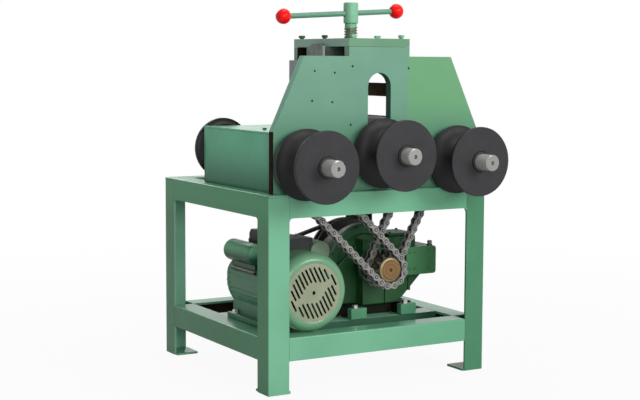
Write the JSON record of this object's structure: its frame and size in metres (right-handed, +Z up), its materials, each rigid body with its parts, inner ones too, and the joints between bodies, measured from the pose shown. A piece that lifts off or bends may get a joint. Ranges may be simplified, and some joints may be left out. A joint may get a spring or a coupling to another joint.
{
  "type": "ring roller",
  "caption": "Electric pipe and section bending machine: grooved rolls on a plate head, a press screw with tommy bar, and a motor, gearbox and chain drive in an angle-iron stand.",
  "frame": {"origin": "the middle of the footprint on the floor, with the roll shafts counted in", "axes": "+Z up, +Y away from the rolls, towards the rear of the stand, +X to the right seen from the rolls"},
  "size_m": [0.555, 0.6754, 0.8343],
  "materials": {
    "greenPaint": "satin",
    "darkGreenPaint": "satin",
    "paleGreenPaint": "satin",
    "paleSteel": "satin",
    "brightSteel": "turned",
    "darkSteel": "matte",
    "blackOxide": "matte",
    "chainSteel": "oiled",
    "brassBrown": "turned",
    "bronze": "turned",
    "redPlastic": "gloss",
    "blackPlastic": "matte",
    "blackRubber": "matte",
    "greyIron": "satin"
  },
  "bodies": {
    "stand": {"leg_front_left": "greenPaint", "leg_front_right": "greenPaint", "leg_rear_left": "greenPaint", "leg_rear_right": "greenPaint", "top_rail_front": "greenPaint", "lower_rail_front": "greenPaint", "top_rail_rear": "greenPaint", "lower_rail_rear": "greenPaint", "top_rail_left": "greenPaint", "lower_rail_left": "greenPaint", "top_rail_right": "greenPaint", "lower_rail_right": "greenPaint", "bearer_front": "greenPaint", "bearer_rear": "greenPaint", "front_plate": "greenPaint", "rear_plate": "greenPaint", "side_plate_left": "paleSteel", "side_plate_right": "paleSteel", "top_plate": "greenPaint", "screw_nut": "darkSteel", "box_side_left": "greenPaint", "box_side_right": "greenPaint", "box_cover": "greenPaint", "front_bearing_left": "bronze", "front_bearing_right": "bronze", "rear_bearing_left": "bronze", "rear_bearing_right": "bronze", "rear_half_roll": "blackOxide", "left_chain": "chainSteel", "right_chain": "chainSteel", "gearbox_housing": "darkGreenPaint", "gearbox_front_cover": "darkGreenPaint", "v_belt": "blackRubber", "motor_body": "greenPaint", "fan_cover": "paleGreenPaint", "terminal_box": "blackPlastic", "capacitor_cover_left": "greyIron", "capacitor_cover_right": "greyIron"},
    "left_roll": {"left_shaft": "brightSteel", "left_roll_outer": "blackOxide", "left_roll_inner": "blackOxide", "left_sprocket": "darkSteel"},
    "right_roll": {"right_shaft": "brightSteel", "right_roll_outer": "blackOxide", "right_roll_inner": "blackOxide", "right_sprocket": "darkSteel"},
    "output": {"output_sprocket": "brassBrown"},
    "input": {"input_pulley": "blackOxide"},
    "rotor": {"rotor_shaft": "brightSteel", "cooling_fan": "blackPlastic", "motor_pulley": "darkSteel"},
    "carriage": {"carriage": "darkSteel"},
    "middle_roll": {"middle_shaft": "brightSteel", "middle_roll_outer": "blackOxide", "middle_roll_inner": "blackOxide"},
    "screw": {"press_screw": "darkSteel", "screw_hub": "greenPaint"},
    "bar": {"tommy_bar": "brightSteel", "ball_left": "redPlastic", "ball_right": "redPlastic"}
  },
  "joints": [
    {"name": "motor_spin", "type": "hinge", "parent": "stand", "child": "rotor", "pos_m": [-0.1567, 0.15465, 0.208], "axis": [0, 1, 0], "continuous": true},
    {"name": "input_spin", "type": "hinge", "parent": "stand", "child": "input", "pos_m": [0.11672, 0.15465, 0.22833], "axis": [0, 1, 0], "continuous": true},
    {"name": "output_spin", "type": "hinge", "parent": "stand", "child": "output", "pos_m": [0.06322, -0.12935, 0.23673], "axis": [0, 1, 0], "continuous": true, "deforming": ["left_chain", "right_chain"]},
    {"name": "left_roll_spin", "type": "hinge", "parent": "stand", "child": "left_roll", "pos_m": [-0.1923, -0.248, 0.4863], "axis": [0, 1, 0], "continuous": true},
    {"name": "right_roll_spin", "type": "hinge", "parent": "stand", "child": "right_roll", "pos_m": [0.1923, -0.248, 0.4863], "axis": [0, 1, 0], "continuous": true},
    {"name": "press_slide", "type": "slide", "parent": "stand", "child": "carriage", "axis": [0, 0, 1], "range_m": [-0.0234, 0.13]},
    {"name": "middle_roll_spin", "type": "hinge", "parent": "carriage", "child": "middle_roll", "pos_m": [0, -0.248, 0.5046], "axis": [0, 1, 0], "continuous": true},
    {"name": "screw_turn", "type": "hinge", "parent": "carriage", "child": "screw", "pos_m": [0, -0.06035, 0.5783], "axis": [0, 0, 1], "range_deg": [-1404, 7800]},
    {"name": "bar_slide", "type": "slide", "parent": "screw", "child": "bar", "axis": [0.9986, 0, 0.0523], "range_m": [-0.085, 0.136]}
  ],
  "couplings": [
    {"joint": "input_spin", "follows": "motor_spin", "ratio": 0.4},
    {"joint": "output_spin", "follows": "motor_spin", "ratio": 0.012698},
    {"joint": "left_roll_spin", "follows": "motor_spin", "ratio": 0.011722},
    {"joint": "right_roll_spin", "follows": "motor_spin", "ratio": 0.011722},
    {"joint": "press_slide", "follows": "screw_turn", "m_per_rad": 0.00095493}
  ]
}
